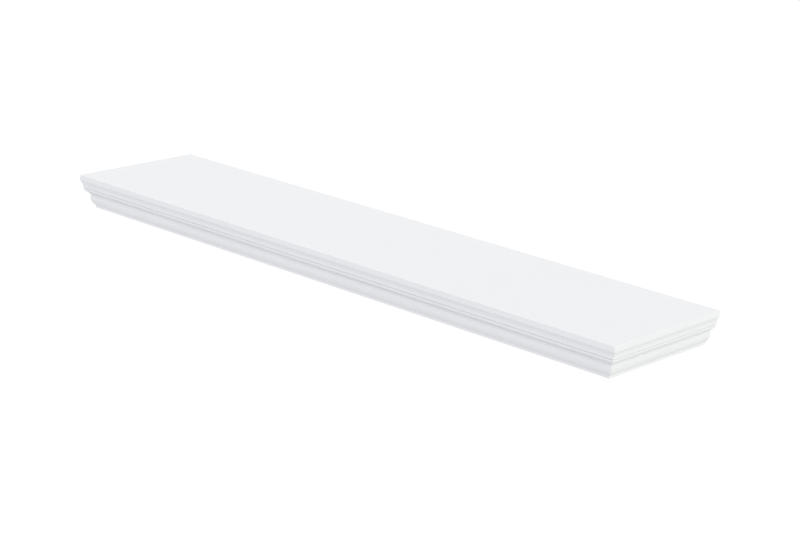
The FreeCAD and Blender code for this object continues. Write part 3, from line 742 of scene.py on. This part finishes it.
front_edge = Matrix.Translation((0, -SHELF_DEPTH, 0))
left_edge = Matrix.Translation((-SHELF_HALF_LENGTH, 0, 0)) @ Matrix.Rotation(-QUARTER_TURN, 4, "Z")
right_edge = Matrix.Translation((SHELF_HALF_LENGTH, 0, 0)) @ Matrix.Rotation(QUARTER_TURN, 4, "Z")
for hand, start, end, mitres, edge, back in (
    ("front", -SHELF_HALF_LENGTH, SHELF_HALF_LENGTH,
     ((-SHELF_HALF_LENGTH, -1), (SHELF_HALF_LENGTH, 1)), front_edge, Vector((0, 1, 0))),
    ("left", 0, SHELF_DEPTH, ((SHELF_DEPTH, 1),), left_edge, Vector((1, 0, 0))),
    ("right", -SHELF_DEPTH, 0, ((-SHELF_DEPTH, -1),), right_edge, Vector((-1, 0, 0))),
):
    bm = run_moulding(start, end, mitres)
    bmesh.ops.transform(bm, matrix=edge, verts=bm.verts[:])
    bm.normal_update()
    bare_where(bm, lambda normal: normal.dot(back) > FACING or normal.y > FACING)
    moulding = add_piece(f"{hand}_crown", bm, lacquer, bare_board)
    fit(moulding, "shelf", "lacquered_board", f"{hand}_moulding")


# Top panel: a flat fibreboard that covers the frame and stands a hair over the mouldings, with its
# upper edges and front corners just eased. It is lacquered, but for its back edge.
TOP_CORNER = 0.001
TOP_EDGE = 0.0004
TOP_UNDER_EDGE = 0.0003
TOP_EDGE_STEPS = 4

low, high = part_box("top_panel")
bm = bmesh.new()
bmesh.ops.create_cube(
    bm, size=1,
    matrix=Matrix.Translation(middle_of("top_panel")) @ Matrix.Diagonal((*(high - low), 1)),
)
front_corners = [
    edge for edge in edges_where(bm, lambda spot: spot.y < low.y + WELD_DISTANCE)
    if abs(edge.verts[0].co.x - edge.verts[1].co.x) < WELD_DISTANCE
]
ease(bm, front_corners, TOP_CORNER, TOP_EDGE_STEPS)
at_the_wall = edges_where(bm, lambda spot: spot.y > high.y - WELD_DISTANCE)
upper = [
    edge for edge in edges_where(bm, lambda spot: spot.z > high.z - WELD_DISTANCE)
    if edge.calc_face_angle() > SHARP and edge not in at_the_wall
]
ease(bm, upper, TOP_EDGE, TOP_EDGE_STEPS)
lower = [
    edge for edge in edges_where(bm, lambda spot: spot.z < low.z + WELD_DISTANCE)
    if edge.calc_face_angle() > SHARP
]
ease(bm, lower, TOP_UNDER_EDGE)
bare_where(bm, lambda normal: normal.y > FACING)
shelf_top = add_piece("shelf_top", bm, lacquer, bare_board)
fit(shelf_top, "shelf", "lacquered_board", "top_panel")


# Lock screws: steel set screws with a machine thread, a hex socket for the key and a chamfered
# point, blackened with oxide. Each turns in an insert until its point presses on an outer rod.
SCREW_RADIUS = 0.003
SCREW_ROOT = 0.00245
SCREW_POINT = 0.001
SCREW_END_CHAMFER = 0.0005
SCREW_TOOTH = (
    # radius, and how far up its pitch the tooth has it
    (SCREW_ROOT, 0), (SCREW_ROOT, 0.2), (SCREW_RADIUS, 0.55), (SCREW_RADIUS, 0.68), (SCREW_ROOT, 1),
)
SCREW_STEPS = 48
SOCKET_SIDES = 6
SOCKET_FLATS = 0.003
SOCKET_DEPTH = 0.004
OXIDE_BLACK = (0.045, 0.045, 0.05, 1)
OXIDE_WORN = (0.16, 0.155, 0.15, 1)
OXIDE_WEAR_STARTS, OXIDE_WEAR_ENDS = 0.45, 0.8
OXIDE_GRAIN_DEPTH = 0.00003
OXIDE_ROUGHNESS, OXIDE_GRAIN_ROUGHENS = 0.34, 0.16


def make_black_oxide():
    """Blackened steel, oiled, a little worn to grey."""
    material, place = start_finish("black_oxide", Metallic=1)
    worn = noise(place, lumps_to_metre=700, detail=3, harshness=0.6)
    grain = noise(place, lumps_to_metre=4200)
    wear = graded(worn, (OXIDE_WEAR_STARTS, BLACK), (OXIDE_WEAR_ENDS, WHITE))
    return end_finish(
        material,
        colour=blended(wear, OXIDE_BLACK, OXIDE_WORN),
        roughness=OXIDE_ROUGHNESS + OXIDE_GRAIN_ROUGHENS * grain,
        normal=bumped(grain, OXIDE_GRAIN_DEPTH, strength=0.5),
    )


black_oxide = make_black_oxide()
for hand in ("left", "right"):
    node = f"lock_screw_{hand}"
    low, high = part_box(node)
    axis = upright_axis(node)
    bm = bmesh.new()
    wind_thread(bm, axis, SCREW_TOOTH, THREAD_PITCH, low.z, high.z, SCREW_STEPS)
    bmesh.ops.edgeloop_fill(bm, edges=saw_level(bm, high.z, 1))
    mouth = saw_level(bm, low.z, -1)
    socket = bmesh.ops.create_circle(
        bm, segments=SOCKET_SIDES, radius=SOCKET_FLATS / math.sqrt(3),
        matrix=Matrix.Translation((axis.x, axis.y, low.z)),
    )["verts"]
    flats = list({edge for vert in socket for edge in vert.link_edges})
    bmesh.ops.bridge_loops(bm, edges=mouth + flats)
    sink_recess(bm, flats, axis, SOCKET_DEPTH)
    turn_down(bm, axis, lambda height: SCREW_RADIUS + min(
        0, high.z - height - SCREW_POINT, height - low.z - SCREW_END_CHAMFER
    ))
    bmesh.ops.recalc_face_normals(bm, faces=bm.faces[:])
    fit(add_piece(f"set_screw_{hand}", bm, black_oxide), node, "black_steel", node)


# Studio: a white room with a pale floor well below the shelf, even light from all round, and two
# broad soft lamps, in front and to the right. The camera has the photograph's viewing angle.
CAMERA_PLACE = (1.70449, -1.94145, 0.74486)
CAMERA_TURN = (73.1648, -2.8528, 42.8296)
CAMERA_LENS = 93.436
FLOOR_HEIGHT = -1.2
FLOOR_SIZE = 30
FLOOR_PALE = (0.7, 0.7, 0.7, 1)
FLOOR_LIFT = 0.32
ROOM_LIGHT = 0.79
LAMP_SPREAD = math.radians(50)
LAMPS = (
    # name, where it shines from, with its strength as the length, and tint
    ("front_lamp", Vector((0, -0.135, 0.1)), (0.99, 1, 1.16)),
    ("right_lamp", Vector((0.28, 0, 0.13)), (1, 1, 0.9)),
)

camera = bpy.data.objects.new("camera", bpy.data.cameras.new("camera"))
camera.location = CAMERA_PLACE
camera.rotation_euler = [math.radians(turn) for turn in CAMERA_TURN]
camera.data.lens = CAMERA_LENS
bpy.context.scene.collection.objects.link(camera)
bpy.context.scene.camera = camera


def seen_directly(strand):
    """1 where a ray comes straight from the camera or by a mirror or glass, 0 for other light."""
    straight, mirrored, through_glass = (
        strand.node("ShaderNodeLightPath", {}, {}, f"Is {kind} Ray")
        for kind in ("Camera", "Glossy", "Transmission")
    )
    return strand.math("MAXIMUM", strand.math("MAXIMUM", straight, mirrored), through_glass)


def light_up(tree, output_kind, unseen, seen):
    """End a tree in one shader for the light that it gives and another for what is seen."""
    output = next(node for node in tree.nodes if node.bl_idname == output_kind)
    mixed = unseen.node("ShaderNodeMixShader", {}, {0: seen_directly(unseen), 1: unseen, 2: seen})
    tree.links.new(mixed.socket, output.inputs["Surface"])


bm = bmesh.new()
bmesh.ops.create_grid(
    bm, x_segments=1, y_segments=1, size=FLOOR_SIZE,
    matrix=Matrix.Translation((0, 0, FLOOR_HEIGHT)),
)
floor_finish, floor_place = start_finish("pale_floor")
diffuse = floor_place.node("ShaderNodeBsdfDiffuse", {}, {"Color": FLOOR_PALE})
glow = diffuse.node("ShaderNodeEmission", {}, {"Color": WHITE, "Strength": FLOOR_LIFT})
lifted = diffuse.node("ShaderNodeAddShader", {}, {0: diffuse, 1: glow})
light_up(floor_finish.node_tree, "ShaderNodeOutputMaterial", diffuse, lifted)
add_piece("floor", bm, floor_finish)

room = bpy.data.worlds.new("white_room")
room.use_nodes = True
background = room.node_tree.nodes["Background"]
background.inputs["Color"].default_value = WHITE
background.inputs["Strength"].default_value = ROOM_LIGHT
ambient = Strand(room.node_tree, background.outputs[0])
backdrop = ambient.node("ShaderNodeBackground", {}, {"Color": WHITE, "Strength": 1})
light_up(room.node_tree, "ShaderNodeOutputWorld", ambient, backdrop)
bpy.context.scene.world = room

for name, shines_from, tint in LAMPS:
    lamp = bpy.data.objects.new(name, bpy.data.lights.new(name, "SUN"))
    lamp.data.energy = math.pi * shines_from.length
    lamp.data.color = tint
    lamp.data.angle = LAMP_SPREAD
    lamp.rotation_euler = shines_from.to_track_quat("Z", "Y").to_euler()
    bpy.context.scene.collection.objects.link(lamp)

bpy.context.scene.view_settings.view_transform = "Standard"
